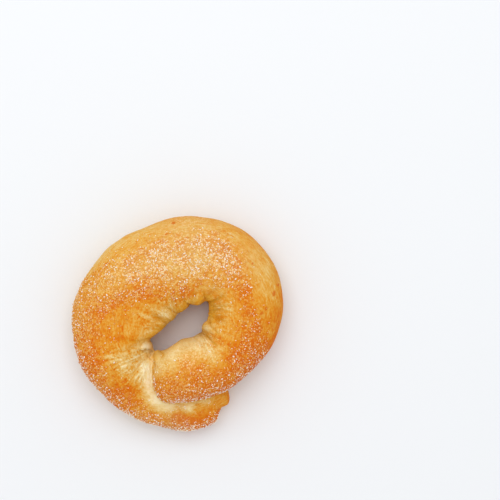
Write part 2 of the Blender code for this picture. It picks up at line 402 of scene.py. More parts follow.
def relief(points, bearing, around):
    """How far the skin stands out from the plain rope at each point."""
    facing_hole = smoothstep(-np.cos(around), *FACES_HOLE)
    radius = np.hypot(points[:, 0], points[:, 1])
    height = PLEAT_FULLNESS * facing_hole
    along = (radius - hole_radius(bearing)) / PLEAT_LENGTH
    reach = PLEAT_AT_LIP + (1 - PLEAT_AT_LIP) * smoothstep(along, *LIP_SHARES)
    reach = smoothstep(along, *PLEAT_FADES) * reach
    for at, depth, width in PLEATS:
        away = np.radians(bearing - at) * radius / width
        height = height - depth * facing_hole * reach * bump(away)
    for x, y, size, rise in KNOBS:
        away = np.hypot(points[:, 0] - x, points[:, 1] - y) / size
        height = height + rise * bump(away) * smoothstep(np.sin(around), *FACES_UP)
    return layered_noise(points, LUMPS, height) * smoothstep(points[:, 2], *RELIEF_STARTS)


print(len(PLEATS), "pleats and", len(KNOBS), "knobs and dents")

# %% [markdown]
# ## Draw the rope out of a sphere
#
# A closed rope with two rounded ends has the same faces as a sphere: the poles are the ends. So a
# sphere with many rings is made, and each of its points is sent to its place on the rope. This
# gives clean quads all along and leaves nothing to close. The rings are set closer together near
# the ends, where the rope turns in on itself.

# %% Draw the rope
RINGS = 640
SIDES = 176
END_CROWDING = 0.25


def vectors(collection, name):
    """The x, y, z of every point of a mesh, as rows."""
    values = np.empty(len(collection) * 3)
    collection.foreach_get(name, values)
    return values.reshape(-1, 3)


def draw_rope():
    """The rope as an object, its points, and the bearing of each."""
    sphere = bmesh.new()
    bmesh.ops.create_uvsphere(sphere, u_segments=SIDES, v_segments=RINGS, radius=1)
    data = bpy.data.meshes.new("rope")
    sphere.to_mesh(data)
    at = vectors(data.vertices, "co")
    along = np.arccos(np.clip(at[:, 2], -1.0, 1.0)) / np.pi
    along -= END_CROWDING * np.sin(2 * np.pi * along) / (2 * np.pi)
    bearing = TAIL_BEARING + (LAP_BEARING - TAIL_BEARING) * along
    around = -np.arctan2(at[:, 1], at[:, 0])
    points = rope_points(bearing, around)
    data.vertices.foreach_set("co", points.ravel())
    sphere.clear()
    sphere.from_mesh(data)
    bmesh.ops.recalc_face_normals(sphere, faces=sphere.faces)
    sphere.to_mesh(data)
    sphere.free()
    points += vectors(data.vertices, "normal") * relief(points, bearing, around)[:, None]
    points[:, 2] = np.maximum(points[:, 2], 0.0)
    data.vertices.foreach_set("co", points.ravel())
    data.update()
    return new_object("rope", data), points, bearing


rope, rope_at, rope_bearing = draw_rope()
box_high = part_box("kalach")[1]
hole_centre = np.array([box_high.x, box_high.y, 0.0]) - rope_at.max(axis=0) * (1, 1, 0)
hang_camera(hole_centre)
print(len(rope_at), "points; the hole's centre lies at", (hole_centre[:2] / MM).round(2), "mm")

# %% [markdown]
# ## Prove the two ends together
#
# In the oven the lapped end and the tail swell and grow into one skin. Laid over each other the two
# are still one mesh that cuts through itself. A voxel remesh keeps only what lies outside and
# rounds the crease between them, as rising does, and a few rounds of smoothing take away the
# voxels' steps. A Boolean union would do it too, but it leaves thin splinters along the crease,
# which the fine relief would tear. The faces round the hole, where the finest folds are, are then
# divided once more.

# %% Fuse the rope into one skin
VOXEL = 0.725 * MM
SMOOTHING = 3
SMOOTHING_SHARE = 0.5
FINE_PLACES = (  # x, y, radius, lowest slope of the skin that is divided
    (0.0, 0.0, 22.5 * MM, -0.3),
    (-15.0 * MM, -12.0 * MM, 4.6 * MM, 0.1),
    (15.0 * MM, 14.2 * MM, 3.4 * MM, 0.1),
)


def applied(obj, name):
    """The mesh of the object with its modifiers applied."""
    bpy.context.view_layer.update()
    data = bpy.data.meshes.new_from_object(obj.evaluated_get(bpy.context.evaluated_depsgraph_get()))
    data.name = name
    return data


def fuse(obj):
    remesh = obj.modifiers.new("rise", "REMESH")
    remesh.mode = "VOXEL"
    remesh.voxel_size = VOXEL
    smooth = obj.modifiers.new("soften", "SMOOTH")
    smooth.factor = SMOOTHING_SHARE
    smooth.iterations = SMOOTHING
    data = applied(obj, "crust")
    bpy.data.objects.remove(obj)
    return data


def refine(data):
    """Divides the faces round the hole once more, and again at its two corners."""
    shape = bmesh.new()
    shape.from_mesh(data)
    for x, y, radius, slope in FINE_PLACES:
        shape.normal_update()
        near = {v for v in shape.verts if math.hypot(v.co.x - x, v.co.y - y) < radius}
        near = {v for v in near if v.normal.z > slope}
        edges = [edge for edge in shape.edges if near.issuperset(edge.verts)]
        bmesh.ops.subdivide_edges(shape, edges=edges, cuts=1, use_grid_fill=True)
    shape.to_mesh(data)
    shape.free()


skin = fuse(rope)
refine(skin)
print(len(skin.vertices), "points and", len(skin.polygons), "faces in the fused skin")

# %% [markdown]
# ## Know where each point of the skin lies
#
# The remesh forgets which turn of the rope a point came from. The nearest point of the old rope
# tells: its bearing says whether this is the tail or the end that laps over it. Everything painted
# or pressed into the skin later reads these measures: x, y and z from the hole's centre in
# millimetres, the bearing, and the radius.

# %% Measure the skin
FAR = 100.0
UNDER_LAP = 180  # greater bearings are the tail, which runs in under the lapped end
OVER_TAIL = 0  # smaller ones are the end that laps over it
MAY_TOUCH = -20  # and below this one it may lie on the tail


class Skin:
    """The fused skin, and where each of its points lies on the ring."""

    def __init__(self, data, old_points, old_bearing):
        self.data = data
        tree = kdtree.KDTree(len(old_points))
        for index, point in enumerate(old_points):
            tree.insert(point, index)
        tree.balance()
        self.points = vectors(data.vertices, "co")
        nearest = [tree.find(point)[1] for point in self.points]
        self.turn = old_bearing[nearest]
        self.measure()
        self.gap = self.far_from(old_points[old_bearing > UNDER_LAP])
        self.gap += self.far_from(old_points[old_bearing < OVER_TAIL])

    def far_from(self, others):
        """How far each point of the lapped part lies from the nearest of some others, in mm."""
        tree = kdtree.KDTree(len(others))
        for index, point in enumerate(others):
            tree.insert(point, index)
        tree.balance()
        distance = np.full(len(self.points), FAR)
        lapped = np.nonzero((self.turn > UNDER_LAP) | (self.turn < MAY_TOUCH))[0]
        distance[lapped] = [tree.find(self.points[index])[2] / MM for index in lapped]
        return distance

    def measure(self):
        """Works out the measures again from the points as they lie now."""
        self.x, self.y, self.z = (self.points / MM).T
        self.radius = np.hypot(self.x, self.y)
        plain = np.degrees(np.arctan2(self.y, self.x))
        self.bearing = self.turn + turned(plain, self.turn)
        self.up = self.normals()[:, 2]

    def normals(self):
        self.data.vertices.foreach_set("co", self.points.ravel())
        self.data.update()
        return vectors(self.data.vertices, "normal")

    def push(self, height):
        """Moves each point along its normal by a height in millimetres, but not below the table."""
        self.points += self.normals() * (height * MM)[:, None]
        self.points[:, 2] = np.maximum(self.points[:, 2], 0.0)
        self.measure()


ring = Skin(skin, rope_at, rope_bearing)
print("bearings run from", round(ring.bearing.min()), "to", round(ring.bearing.max()), "degrees")

# %% [markdown]
# ## Creases
#
# A few creases give this ring its face: the deep one between the lapped end and the tail, the two
# that run up and right from the top corner of the hole, those between the knobs above the hole, and
# the long valley to its left. Each is a short line with a width and a depth, pressed into the skin
# with a soft V. The seam between the lapped end and the tail is pressed in wherever the two come
# close, a few pits are the last gaps in it, and the skin swells a little between the creases. How
# deep a place lies is kept as a number, which later darkens it with painted shade.

# %% Press the creases
CREASES = (  # corners of the line in mm from the hole's centre, width, depth
    (((13.1, 13.7), (12.9, 15.2), (12.4, 17.2), (11.5, 18.6)), 0.45, 0.6),
    (((13.4, 12.1), (15.8, 12.4), (18.9, 13.8), (22.5, 15.7), (24.5, 17.0)), 0.45, 0.6),
    (((5.6, 10.6), (4.0, 11.4), (2.6, 13.0), (1.2, 15.2)), 0.5, 0.7),
    (((-1.0, 6.2), (-3.7, 8.5), (-8.2, 11.0)), 0.6, 0.6),
    (((-6.6, 1.4), (-9.2, 4.0), (-14.7, 7.0)), 0.7, 0.45),
    (((-14.8, -6.8), (-19.8, -6.5), (-25.0, -6.8), (-30.4, -5.4), (-36.0, -4.6)), 1.7, 0.16),
    (((-15.0, -5.9), (-19.2, -7.2), (-24.2, -6.8), (-28.7, -5.8)), 0.45, 0.45),
    (
        ((-13.2, -16.6), (-12.0, -18.9), (-12.5, -20.8), (-13.1, -23.1), (-13.0, -26.2), (-12.7, -29.0)),
        0.5,
        0.6,
    ),
    (((-16.0, -12.8), (-15.6, -14.6), (-14.0, -16.1), (-12.5, -17.1)), 0.4, 0.4),
    (((11.4, -3.1), (15.0, -4.8), (18.4, -8.2), (20.0, -10.5)), 0.5, 0.8),
    (((14.8, 3.3), (16.2, 0.3), (18.9, -2.6), (21.0, -4.2)), 0.5, 0.8),
    (((-10.0, -11.4), (-7.6, -13.0), (-9.4, -16.4)), 0.6, 0.6),
    (((-16.8, -7.2), (-18.4, -9.0), (-19.6, -10.4)), 0.4, 0.5),
    (((-16.6, -12.1), (-17.5, -11.9), (-19.0, -11.4), (-20.4, -10.6)), 0.4, 0.35),
    (((16.2, 10.0), (20.7, 10.5), (26.2, 10.8)), 0.55, 0.5),
    (((14.4, 7.8), (18.5, 8.5), (23.5, 8.5)), 0.5, 0.5),
    (((14.9, 5.3), (19.2, 4.0), (25.2, 3.5)), 0.5, 0.5),
)
CREASE_FADES = (1.0, 0.65)  # shares of its length
# How strongly and how sharply a crease is darkened with painted shade; the seam's share follows below.
CREASE_SHADE_STRENGTH = 1.6
SHADE_SHARPNESS = 1.5
SEAM_WIDTH = 0.9
SEAM_DEPTH = 0.35
SEAM_SHADE = 0.6
PITS = (
    (-19.0, -11.8),
    (-17.4, -12.2),
    (-16.5, -11.3),
    (5.3, 10.4),
    (-5.4, -37.6),
    (-1.0, -37.9),
    (8.5, -38.4),
)
PIT_RADIUS = 0.7
PIT_DEPTH = 0.5
PILLOWS = (  # small swellings between creases: x, y from the hole's centre in mm, radius, rise
    (15.6, 14.6, 2.5, 0.8),
    (13.6, 0.2, 2.4, 0.4),
)
TURNS_UP = (-0.35, 0.2)  # slopes of the skin between which it begins to take creases


def line_distance(x, y, corners):
    """Distance of each point from a line with corners, and its share of the way along."""
    nearest = np.full(len(x), np.inf)
    share = np.zeros(len(x))
    for number, ((x0, y0), (x1, y1)) in enumerate(zip(corners, corners[1:])):
        length = math.hypot(x1 - x0, y1 - y0)
        along = np.clip(((x - x0) * (x1 - x0) + (y - y0) * (y1 - y0)) / length**2, 0.0, 1.0)
        distance = np.hypot(x - x0 - along * (x1 - x0), y - y0 - along * (y1 - y0))
        closer = distance < nearest
        nearest = np.where(closer, distance, nearest)
        share = np.where(closer, (number + along) / (len(corners) - 1), share)
    return nearest, share


def spot(skin, x, y, size):
    """1 at a place, seen from above, and nearly 0 at twice the size from it."""
    return bump(np.hypot(skin.x - x, skin.y - y) / size)


facing_up = smoothstep(ring.up, *TURNS_UP)
# This number is painted shade: it later darkens the creases, the seam and the pits.
crease = np.zeros(len(ring.x))
pressed = np.zeros(len(ring.x))
for corners, width, depth in CREASES:
    distance, share = line_distance(ring.x, ring.y, corners)
    soft_v = np.exp(-distance / width) * facing_up * smoothstep(share, *CREASE_FADES)
    pressed -= depth * soft_v
    crease = np.maximum(crease, soft_v**SHADE_SHARPNESS * min(1.0, CREASE_SHADE_STRENGTH * depth))
seam = np.exp(-ring.gap / SEAM_WIDTH) * facing_up
pressed -= SEAM_DEPTH * seam
crease = np.maximum(crease, SEAM_SHADE * seam)
pits = np.zeros(len(ring.x))
for x, y in PITS:
    pits = np.maximum(pits, spot(ring, x, y, PIT_RADIUS) * facing_up)
pressed -= PIT_DEPTH * pits
for x, y, radius, rise in PILLOWS:
    pressed += rise * spot(ring, x, y, radius) * facing_up
crease = np.maximum(crease, pits)
ring.push(pressed)
print(len(CREASES), "creases up to", round(-pressed.min(), 2), "mm deep")

# %% [markdown]
# ## Fans of wrinkles
#
# From each pinched place the skin is drawn into fine wrinkles that fan out and fade. A fan is noise
# on polar coordinates round its pinch point: it changes quickly with the angle and slowly with the
# distance, so its ridges point at the pinch. The same noise is kept for the colours, because
# stretched skin stays pale where it is thin.

# %% Draw the wrinkles
# x and y of the pinch, nearest, farthest and height are in mm, facing and the half spread in degrees
Fan = namedtuple("Fan", "x y facing spread nearest farthest ridges_per_turn height")
FANS = (
    Fan(8.6, 9.0, 0, 42, 3.0, 24.0, 120, 0.34),
    Fan(-13.0, -11.0, 214, 50, 1.5, 37.0, 95, 0.26),
    Fan(8.0, 2.0, -52, 30, 7.0, 27.0, 110, 0.24),
    Fan(1.0, -6.0, 128, 44, 8.0, 24.0, 100, 0.12),
    Fan(-15.0, -12.0, 268, 16, 6.0, 24.0, 60, 0.2),
    Fan(0.0, 0.0, 70, 150, 4.0, 27.0, 62, 0.19),
)
FAN_STRETCH = 11.0
FINE_STRETCH = 1.7  # how much sooner the fine wrinkles change along their length
FINE_SHARE = 0.6
VALLEY = 0.8
RIDGE = 2.4
EDGE_FADES = 0.6  # where a fan begins to fade, as a share of its spread
END_FADES = 0.45  # and of its farthest reach
HARDLY = 0.01
FAN_SHIFT = 17.0  # moves each fan to another part of the noise


def fan_waves(angle, distance, ridges, shift):
    """Round ridges and sharp valleys that run away from the pinch, between about -0.8 and 1."""
    turns = angle * ridges / (2 * np.pi)
    broad = noise_at(np.stack([turns * 0.5, distance / FAN_STRETCH, 0 * turns], axis=1), 1.0, shift)
    along = distance / FAN_STRETCH * FINE_STRETCH
    fine = noise_at(np.stack([turns, along, 0 * turns], axis=1), 1.0, shift + 5.0)
    return RIDGE * (np.abs(broad) + FINE_SHARE * np.abs(fine)) - VALLEY


streaks = np.zeros(len(ring.x))
wrinkled = np.zeros(len(ring.x))
fan_reach = []
for number, fan in enumerate(FANS):
    distance = np.hypot(ring.x - fan.x, ring.y - fan.y)
    angle = np.arctan2(ring.y - fan.y, ring.x - fan.x)
    off = np.abs(turned(np.degrees(angle), fan.facing))
    reach = smoothstep(off, fan.spread, fan.spread * EDGE_FADES)
    reach *= smoothstep(distance, fan.nearest / 2, fan.nearest)
    reach *= smoothstep(distance, fan.farthest, fan.farthest * END_FADES) * facing_up
    here = reach > HARDLY
    waves = np.zeros(len(ring.x))
    waves[here] = fan_waves(angle[here], distance[here], fan.ridges_per_turn, FAN_SHIFT * number)
    streaks += reach * waves
    wrinkled += fan.height * reach * waves
    fan_reach.append(reach)
ring.push(wrinkled)
print(len(FANS), "fans, with wrinkles up to", round(np.abs(wrinkled).max(), 2), "mm high")

# %% [markdown]
# ## Where the sugar lies
#
# The baker dips or dredges the top. On this ring the sugar leaves out a smooth flank along the far
# and right edge and the gathered skin round the hole. Three border lines say it, all by bearing:
# how wide the bare flank is, how far out the sugar starts, and how far down it reaches. Between
# them its density varies, because crystals roll together in the hollows. Where it lies thick, its
# dust half melts and whitens the crust, and on the near rim the crystals stand free and stay white.
# Frost and snow are the numbers for these two.

# %% Spread the sugar's density
FLANK = (  # bearing, width of the bare flank in mm; below zero there is none
    (-180, -9), (-42, -9), (-37, 1.2), (-30, 4.3), (-21, 5.9), (-10, 8.4), (8, 15.0), (20, 17.0),
    (29, 14.6), (36, 12.7), (45, 10.4), (52, 10.2), (58, 6.3), (66, 4.9), (75, 6.9), (84, 9.5),
    (95, 9.3), (111, 6.6), (127, 5.2), (139, 3.2), (150, 1.6), (160, -9), (330, -9),
)
START = (  # bearing, radius in mm at which the sugar starts
    (-131, 26.0), (-109, 25.5), (-104, 21.3), (-90, 20.5), (-64, 19.5), (-54, 24.0), (-40, 26.5),
    (-20, 28.5), (-3, 28.0), (22, 33.0), (39, 28.8), (57, 24.5), (73, 17.3), (100, 15.7), (130, 18.3),
    (149, 24.2), (165, 30.8), (179, 37.3), (200, 40.5), (218, 44.0), (228, 40.0), (243, 40.4),
    (257, 42.0), (267, 44.2), (288, 46.2), (305, 49.5),
)
LOWEST = (  # bearing, height in mm below which there is none
    (-131, 5.0), (-62, 6.0), (-46, 9.0), (-36, 13.0), (-30, 17.0), (136, 17.0), (156, 12.0), (165, 9.5),
    (185, 6.0), (205, 5.0), (330, 5.0),
)
FLANK_FADES = (-1.5, 6.0)  # distances in mm from a border between which the sugar begins and is full
HOLE_FADES = (-5.0, 7.0)
HOLE_WANDER = 1.6
BORDER_WANDERS = ((3.0, 11.0 * MM, 3.0), (1.2, 3.0 * MM, 9.0))
LOWEST_FADE = 5.0
CLUMPS_MEAN = 0.72
CLUMPS = ((0.55, 4.5 * MM, 21.0), (0.45, 1.9 * MM, 27.0))
THINNEST = 0.12
STRAYS = 0.20  # density of the crystals that fell beyond the borders
FLANK_STRAYS = (-5.0, 0.0)
HOLE_STRAYS = (-13.0, -2.0)
STRAYS_LIE = (0.35, 0.7)  # slopes of the skin, from upright at 0 to level at 1
SUGAR_HOLDS = (-0.55, 0.05)


def along_border(bearing, border):
    return np.interp(bearing, *zip(*border))


def sugar_density(skin):
    edge_wander = layered_noise(skin.points, BORDER_WANDERS)
    flank = ring_radius(skin.bearing) / MM - along_border(skin.bearing, FLANK)
    from_flank = flank - skin.radius + edge_wander
    from_hole = skin.radius - along_border(skin.bearing, START) + HOLE_WANDER * edge_wander
    density = smoothstep(from_flank, *FLANK_FADES) * smoothstep(from_hole, *HOLE_FADES)
    clumps = layered_noise(skin.points, CLUMPS, CLUMPS_MEAN)
    density *= np.clip(clumps, THINNEST, 1.0)
    strays = smoothstep(from_flank, *FLANK_STRAYS) * smoothstep(from_hole, *HOLE_STRAYS)
    strays = STRAYS * strays * np.clip(clumps, 0.0, 1.0) * smoothstep(skin.up, *STRAYS_LIE)
    density = np.maximum(density, strays)
    lowest = along_border(skin.bearing, LOWEST) + edge_wander
    return density * smoothstep(skin.z, lowest, lowest + LOWEST_FADE) * smoothstep(skin.up, *SUGAR_HOLDS)


sugar = sugar_density(ring)
print("sugar lies on", round(100 * float((sugar > 0.3).mean())), "% of the skin")

# %% Frost it where it lies thick
FROST = 0.08  # share of the finest sugar, half melted in, that whitens the crust between the crystals
FROST_PATCHES = (  # x, y from the hole's centre in mm, size, amount
    (-20, 35, 12, 0.45), (-28, 26, 10, 0.22), (-44, 6, 10, 0.14), (-5, 32, 10, 0.55),
    (10, 40, 13, 0.5), (26, 32, 9, 0.4), (-5, -52, 11, 0.42), (-36, -34, 9, 0.15),
    (-18, -46, 9, 0.2),
)
DUSTED = (  # bare skin with a dust of sugar: x, y from the hole's centre in mm, size, amount
    (5, 49, 20, 0.34), (37, 35, 10, 0.2), (4, -17, 5, 0.32), (9, -9, 8, 0.35),
    (16.4, -11.2, 4.5, 0.25), (-2, -40.5, 4, 0.3),
)
NEAR_SIDE = (10, -20)  # y in mm between which the near side begins
TAIL_RIM = (-38, -46)
SNOW_ON_TAIL = 0.9


def patched(skin, patches):
    """The sum of soft round patches, seen from above."""
    total = np.zeros(len(skin.x))
    for x, y, size, amount in patches:
        total += amount * spot(skin, x, y, size)
    return total


frost = sugar * (FROST + patched(ring, FROST_PATCHES)) + patched(ring, DUSTED)
snow = sugar * smoothstep(ring.up, 0.80, 0.25) * smoothstep(ring.y, *NEAR_SIDE)
snow += SNOW_ON_TAIL * sugar * smoothstep(ring.up, 0.97, 0.60) * smoothstep(ring.y, *TAIL_RIM)
print("frost reaches", frost.max().round(2), "and snow", snow.max().round(2))

# %% [markdown]
# ## Where the oven browned it
#
# Baking colours what stands out and leaves the stretched and sheltered skin pale. One number from
# 0, cream, to 1, russet, holds this for each point. It starts from the kind of skin, and soft
# patches then pull it up or down. The tail and the lapped end have patches of their own, because
# they lie over each other. The same number carries painted shade too: the steep right rim and the
# near rim are darker where they turn from the light, the inner walls of the hole are darker to
# brown the shade in it, and a few patches lighten slopes that the lapped end or the lamp leaves in
# shade, as painted light. Two more numbers: the lip of the hole, which stays yellow where the heat
# hardly reached and is brightened with painted warm light where it lies in shade, and painted shade
# on pale skin that turns from the light.

# %% Bake the skin
SMOOTH_FLANK_BAKE = 0.49
SUGARED_BAKE = 0.72
BARE_BAKE = 0.58
LEAST_BAKE = 0.02
DRAWN_PALENESS = 0.22
RIM_SHADE = 0.16
NEAR_RIM_SHADE = 0.12
SHELTER = 0.16
WALL_SHADE = 0.5
MOTTLED_BAKE = ((0.05, 14.0 * MM, 4.0), (0.05, 5.0 * MM, 8.0))
FLANK_WIDER = (1.5, -2.5)  # mm added to the flank's width, at the border where its bake fades
SUGAR_TELLS = (0.05, 0.6)  # densities of sugar
ON_TAIL = (180, 190)  # bearings between which a point comes to belong to that part
ON_LAP = (10, 0)
OFF_LAP_END = (-60, -20)
OFF_TAIL_END = (250, 220)
PATCHES = (  # x, y from the hole's centre in mm, size, amount
    (-17, 18, 7, 0.22), (-30, 4, 12, 0.16), (-39, -2, 12, 0.05), (-44, -18, 10, 0.07),
    (-26, -32, 7, 0.1), (29, 20, 6, 0.06), (32, 14, 5, 0.08), (5, 17, 5, 0.14), (23, -16, 9, 0.1),
    (48, 9, 14, 0.22), (46, -12, 12, 0.3), (34, 8, 9, 0.05), (28, -19, 9, 0.22),
    (-40, -17, 12, 0.14), (4, 36, 16, -0.06), (0, 52, 22, 0.14), (36, 38, 10, 0.14),
    (14, 1, 5, -0.12), (14.4, -0.4, 3, -0.12), (21, 6, 6, -0.08), (16, 14, 6, 0.08),
    # The patch at -5.7, 5.5 lightens the slope above the hole that turns from the lamp: painted light.
    (-5.7, 5.5, 5, -0.5), (-12.7, -0.5, 4, -0.05), (5, 11, 3, -0.15), (-18, 31, 5, -0.16),
    (-28, 26, 6, -0.14), (-37, 19, 5, -0.1), (26, -2, 8, 0.12), (-7, 33, 7, -0.16),
    (10, 33, 7, -0.14), (0, 24, 6, -0.06),
)
TAIL_PATCHES = (
    (-24, -15, 13, -0.14), (-16.6, -9.2, 2.8, -0.5), (-23, -6, 2.6, 0.34), (-27, -6.3, 2, 0.24),
    (-30, -5.3, 2, 0.34), (-33.5, -5, 2.2, 0.22), (-14.5, -13.5, 3.5, -0.5),
    # The pale strip by the lapped end and the crescent under it are dough that stayed pale, made lighter
    # still as painted light in the lapped end's shade.
    (-15.8, -21, 4.5, -0.5), (-15, -27, 4, -0.5), (-15.5, -32, 3, -0.3), (-27, -14.5, 6, -0.08),
    (-11.5, -36, 4.5, -0.5), (-4.5, -40.3, 4, -0.58), (4.5, -41, 3.6, -0.48), (12, -38, 4, -0.25),
    (0, -45.5, 6, 0.38), (12, -44.5, 6, 0.35), (5.5, -46, 3.5, 0.14), (22, -36, 6, 0.14),
    (4, -52.5, 5, 0.34), (-12, -50, 6, 0.16), (-24, -33, 9, 0.16), (-33, -36, 8, 0.12),
)
LAP_PATCHES = (
    (9, -6, 6.5, -0.44), (3.5, -17.5, 4.5, 0.04), (15.5, -10, 4.2, -0.26), (19, -14, 3, -0.14),
    (-3, -11.8, 5.5, -0.38), (-10, -14.5, 3, -0.2), (-10, -21, 4, -0.18), (20.5, -17, 4.5, -0.12),
    (6, -18, 6, 0.18), (-4, -32, 8, 0.17), (10, -32, 9, 0.15), (22, -27, 8, 0.18),
)
BLISTERS = (  # x, y from the hole's centre in mm, length, lie in degrees
    (47.2, 16.6, 1.4, 75), (43.2, 9.2, 1, 80), (41, 6.9, 1.2, 40), (39.2, -2, 1.1, 0),
    (-2.8, 51.6, 1.2, 8), (-6, 46, 0.8, 20), (40.3, 23.2, 0.6, 0), (44.5, 2, 0.8, 80),
    (36.5, 31.5, 0.8, 60), (49.5, 21, 0.9, 70),
)
BLISTER_WIDTH = 0.62  # as a share of its length


def blister_field(skin):
    """Small raised spots where steam lifted the skin: 1 in the middle of each."""
    total = np.zeros(len(skin.x))
    for x, y, length, lie in BLISTERS:
        cos, sin = math.cos(math.radians(lie)), math.sin(math.radians(lie))
        along = (skin.x - x) * cos + (skin.y - y) * sin
        across = (skin.y - y) * cos - (skin.x - x) * sin
        total = np.maximum(total, bump(np.hypot(along / length, across / (BLISTER_WIDTH * length))))
    return total * smoothstep(skin.up, 0.0, 0.4)


def bake_field(skin, sugared, drawn):
    """How far each point was baked, from its place, its sugar and how far its skin was drawn."""
    flank = along_border(skin.bearing, FLANK)
    from_edge = ring_radius(skin.bearing) / MM - skin.radius
    on_flank = smoothstep(from_edge, *(flank + wider for wider in FLANK_WIDER))
    bake = BARE_BAKE + (SMOOTH_FLANK_BAKE - BARE_BAKE) * on_flank
    bake += (SUGARED_BAKE - bake) * smoothstep(sugared, *SUGAR_TELLS)
    tail = smoothstep(skin.bearing, *ON_TAIL)
    lap = smoothstep(skin.bearing, *ON_LAP)
    anywhere = patched(skin, PATCHES)
    bake += anywhere * (1 - tail) * smoothstep(skin.bearing, *OFF_LAP_END)
    bake += anywhere * tail * smoothstep(skin.bearing, *OFF_TAIL_END)
    bake += patched(skin, TAIL_PATCHES) * tail + patched(skin, LAP_PATCHES) * lap
    bake += layered_noise(skin.points, MOTTLED_BAKE)
    bake -= DRAWN_PALENESS * drawn
    # Painted shade: the steep right rim and the steep sugared near rim are baked darker where they turn
    # from the light, and the inner walls of the hole darker to brown the shade in it.
    shaded_rim = smoothstep(skin.up, 0.75, 0.2) * smoothstep(skin.radius, 34, 44) * smoothstep(skin.x, -20, 25)
    shaded_near_rim = smoothstep(skin.up, 0.75, 0.3) * sugared * smoothstep(skin.y, *NEAR_SIDE)
    sheltered = smoothstep(skin.z, 7, 2)
    shaded_wall = smoothstep(skin.up, 0.2, -0.2) * smoothstep(skin.radius, 26, 20) * smoothstep(skin.z, 26, 18)
    bake += RIM_SHADE * shaded_rim
    bake += NEAR_RIM_SHADE * shaded_near_rim
    return np.clip(bake - SHELTER * sheltered + WALL_SHADE * shaded_wall, LEAST_BAKE, 1.0)


bake = bake_field(ring, sugar, streaks)
blisters = blister_field(ring)
low, mean, high = bake.min().round(2), bake.mean().round(2), bake.max().round(2)
print("bake runs from", low, "to", high, "with mean", mean)

# %% Shelter the lip and the hollows
# The lip and these corners stay yellow where the heat hardly reached, and are brightened with painted
# warm light where they lie in shade; entries below zero take it back.
HOLLOW_GLOW = (  # sheltered corners, yellow like the lip: x, y from the hole's centre in mm, size, amount
    (-15.2, -14.2, 2.2, 0.8), (-11, -13.6, 2.2, 0.5), (-14.5, -6, 2, 0.4), (12, 13, 2.5, 0.7),
    (-15.6, -9.6, 2.8, -0.7), (-7, -11.5, 4.5, -0.6), (1, -8, 4.5, -0.6), (8, -5.5, 4.5, -0.6),
    (14.5, -0.5, 2.6, -0.5),
)
# Painted shade: these patches darken pale skin that turns from the light.
SHADE_PATCHES = (  # pale skin that turns from the light: x, y from the hole's centre in mm, size, amount
    (2.8, -6, 4.5, 0.45), (9, -3.5, 3.5, 0.4), (-6, -10.5, 4, 0.35), (14.4, -0.4, 2.8, 0.45),
    (-15.8, -9.4, 2.4, 0.35), (-10.3, -13.3, 2.2, 0.5), (5, 50, 20, 0.16), (38, 34, 10, 0.12),
    (-3, -52, 8, 0.3),
)
LIP_WIDTH = (7, 2)  # distances in mm from the hole between which the lip begins and is full

# The lip: yellow skin round the hole, also brightened with painted warm light where it turns to the
# hole.
from_hole = ring.radius - hole_radius(ring.bearing) / MM
lip = smoothstep(ring.up, 0.85, 0.4) * smoothstep(from_hole, *LIP_WIDTH)
lip = np.clip(lip + patched(ring, HOLLOW_GLOW), 0.0, 1.0)
print("the lip covers", round(100 * float((lip > 0.5).mean())), "% of the skin")

# %% [markdown]
# ## The skin's fine unevenness
#
# Sugared crust is pebbly, because each crystal drew water from the dough and left a tiny hollow.
# Bare crust is nearly smooth. Blisters stand up a little. These are real relief down to about a
# millimetre, and what is finer is left to the material. Then all that is known of each point is
# kept on the mesh as attributes, for the materials and Geometry Nodes to read. Flow is a place
# measured along and across the rope, for streaks that run with it.

# %% Roughen the skin
PEBBLES = ((1.0, 1.7 * MM, 31.0), (0.5, 1.1 * MM, 37.0))
PEBBLE_HEIGHT = 0.14
BARE_UNEVENNESS = 0.035
BLISTER_HEIGHT = 0.25
BASE_STAYS_FLAT = (0.3, 2.0)  # heights in mm

pebbles = layered_noise(ring.points, PEBBLES)
unevenness = BARE_UNEVENNESS + (PEBBLE_HEIGHT - BARE_UNEVENNESS) * sugar
ring.push(pebbles * unevenness * smoothstep(ring.z, *BASE_STAYS_FLAT) + BLISTER_HEIGHT * blisters)
print("sugared skin is pebbled by up to", round(float(np.abs(pebbles * unevenness).max()), 2), "mm")

# %% Keep what is known of each point
FLOW_RADIUS = 34.0  # mm, where a step along the rope is as long as its share of a turn
ABOVE_TABLE = (5, 12)  # heights in mm

above = smoothstep(ring.z, *ABOVE_TABLE)
under = smoothstep(ring.up, -0.55, -0.9) * smoothstep(ring.z, 6.0, 1.0) + smoothstep(ring.z, 1.6, 0.2)
known = {
    "bake": bake,
    "sugar": sugar,
    "frost": frost,
    "snow": snow,
    "crease": crease,
    "dusk": patched(ring, SHADE_PATCHES) * above,
    "lip": lip * above,
    "blister": blisters,
    "underside": np.clip(under, 0, 1),
    **{f"fan_{number}": reach for number, reach in enumerate(fan_reach)},
}
for name, values in known.items():
    ring.data.attributes.new(name, "FLOAT", "POINT").data.foreach_set("value", values.astype(np.float32))
flow = np.stack([np.radians(ring.bearing) * FLOW_RADIUS, ring.radius, ring.z], axis=1).astype(np.float32)
ring.data.attributes.new("flow", "FLOAT_VECTOR", "POINT").data.foreach_set("vector", flow.ravel())
ring.data.transform(Matrix.Translation(hole_centre))
ring.data.shade_smooth()
crust = new_object("crust", ring.data)
print("the crust is", [round(side / MM, 1) for side in crust.dimensions], "mm")

# %% [markdown]
# ## Sums written as sums
#
# Node trees are easiest to read as formulas. One small class wraps a socket, so that a plus or a
# times sign between two wires adds the Math node that does it, and one method adds any other node:
# it takes the node's type, its settings, and what goes into its sockets. Both serve materials and
# Geometry Nodes alike.

